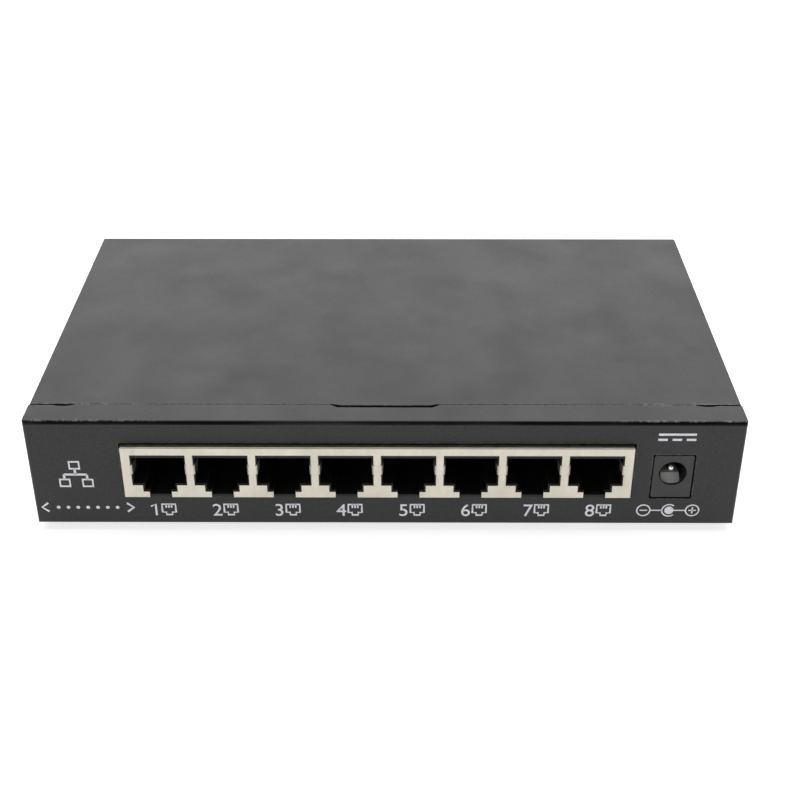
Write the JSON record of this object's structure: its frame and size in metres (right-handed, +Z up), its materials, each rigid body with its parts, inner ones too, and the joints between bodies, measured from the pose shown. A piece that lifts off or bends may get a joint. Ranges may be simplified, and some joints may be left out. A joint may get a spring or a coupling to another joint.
{
  "type": "desktop network switch",
  "caption": "Small desktop Ethernet switch in a black folded steel case, with a ganged row of network jacks and a DC inlet on one long side.",
  "frame": {"origin": "under the middle of the whole object, on the plane that the feet stand on", "axes": "+Z up; -Y out of the port side; +X to the right for someone who faces the ports"},
  "size_m": [0.16, 0.0974, 0.0298],
  "materials": {
    "white_ink": "screen-printed ink, matt",
    "case_paint": "fine textured black powder coat, matt",
    "zinc_screw": "zinc plated",
    "foot_rubber": "matt",
    "jack_shield": "warm nickel plate, satin",
    "jack_plastic": "matt black moulding",
    "contact_gold": "gold plated",
    "tinned": "tin plated",
    "pin_nickel": "bright nickel plate",
    "board_green": "green solder mask",
    "chip_epoxy": "moulded epoxy",
    "pad_grey": "soft silicone pad",
    "sink_metal": "black anodised",
    "can_metal": "satin",
    "disc_blue": "dipped epoxy",
    "ceramic_black": "glazed",
    "ceramic_tan": "sintered",
    "lamp_lens": "diffused green",
    "holder_black": "moulded nylon"
  },
  "bodies": {
    "case": {"board_screws": "zinc_screw", "capacitor_bases": "holder_black", "capacitor_cans": "can_metal", "chassis": "case_paint", "chip_capacitors": "ceramic_tan", "chip_resistors": "ceramic_black", "circuit_board": "board_green", "contact_carriers": "jack_plastic", "contact_combs": "jack_plastic", "cover_screws": "zinc_screw", "crystal": "can_metal", "dc_jack_body": "jack_plastic", "dc_jack_pin": "pin_nickel", "dc_jack_terminals": "tinned", "flash_chip": "chip_epoxy", "heatsink": "sink_metal", "input_diodes": "chip_epoxy", "lamp_holders": "holder_black", "lamp_leads": "tinned", "line_transformers": "chip_epoxy", "port_housings": "jack_plastic", "port_pins": "tinned", "port_shield": "jack_shield", "power_inductors": "ceramic_black", "rubber_feet": "foot_rubber", "safety_capacitors": "disc_blue", "small_chip_leads": "tinned", "standoffs": "zinc_screw", "status_lamps": "lamp_lens", "switch_chip": "chip_epoxy", "switch_chip_leads": "tinned", "thermal_pad": "pad_grey", "top_cover": "case_paint", "transformer_leads": "tinned", "voltage_regulators": "chip_epoxy"},
    "contacts_1": {"port_1_contacts": "contact_gold"},
    "contacts_2": {"port_2_contacts": "contact_gold"},
    "contacts_3": {"port_3_contacts": "contact_gold"},
    "contacts_4": {"port_4_contacts": "contact_gold"},
    "contacts_5": {"port_5_contacts": "contact_gold"},
    "contacts_6": {"port_6_contacts": "contact_gold"},
    "contacts_7": {"port_7_contacts": "contact_gold"},
    "contacts_8": {"port_8_contacts": "contact_gold"},
    "dc_leaf": {"dc_jack_spring": "tinned"}
  },
  "joints": [
    {"name": "port_1_contact_flex", "type": "hinge", "parent": "case", "child": "contacts_1", "pos_m": [-0.0507, -0.044, 0.0207], "axis": [1, 0, 0], "range_deg": [0, 8], "stiffness_Nm_per_rad": 0.2},
    {"name": "port_2_contact_flex", "type": "hinge", "parent": "case", "child": "contacts_2", "pos_m": [-0.0367, -0.044, 0.0207], "axis": [1, 0, 0], "range_deg": [0, 8], "stiffness_Nm_per_rad": 0.2},
    {"name": "port_3_contact_flex", "type": "hinge", "parent": "case", "child": "contacts_3", "pos_m": [-0.0227, -0.044, 0.0207], "axis": [1, 0, 0], "range_deg": [0, 8], "stiffness_Nm_per_rad": 0.2},
    {"name": "port_4_contact_flex", "type": "hinge", "parent": "case", "child": "contacts_4", "pos_m": [-0.0087, -0.044, 0.0207], "axis": [1, 0, 0], "range_deg": [0, 8], "stiffness_Nm_per_rad": 0.2},
    {"name": "port_5_contact_flex", "type": "hinge", "parent": "case", "child": "contacts_5", "pos_m": [0.0053, -0.044, 0.0207], "axis": [1, 0, 0], "range_deg": [0, 8], "stiffness_Nm_per_rad": 0.2},
    {"name": "port_6_contact_flex", "type": "hinge", "parent": "case", "child": "contacts_6", "pos_m": [0.0193, -0.044, 0.0207], "axis": [1, 0, 0], "range_deg": [0, 8], "stiffness_Nm_per_rad": 0.2},
    {"name": "port_7_contact_flex", "type": "hinge", "parent": "case", "child": "contacts_7", "pos_m": [0.0333, -0.044, 0.0207], "axis": [1, 0, 0], "range_deg": [0, 8], "stiffness_Nm_per_rad": 0.2},
    {"name": "port_8_contact_flex", "type": "hinge", "parent": "case", "child": "contacts_8", "pos_m": [0.0473, -0.044, 0.0207], "axis": [1, 0, 0], "range_deg": [0, 8], "stiffness_Nm_per_rad": 0.2},
    {"name": "dc_leaf_flex", "type": "hinge", "parent": "case", "child": "dc_leaf", "pos_m": [0.06475, -0.037, 0.01273], "axis": [1, 0, 0], "range_deg": [0, 6], "stiffness_Nm_per_rad": 0.3}
  ]
}
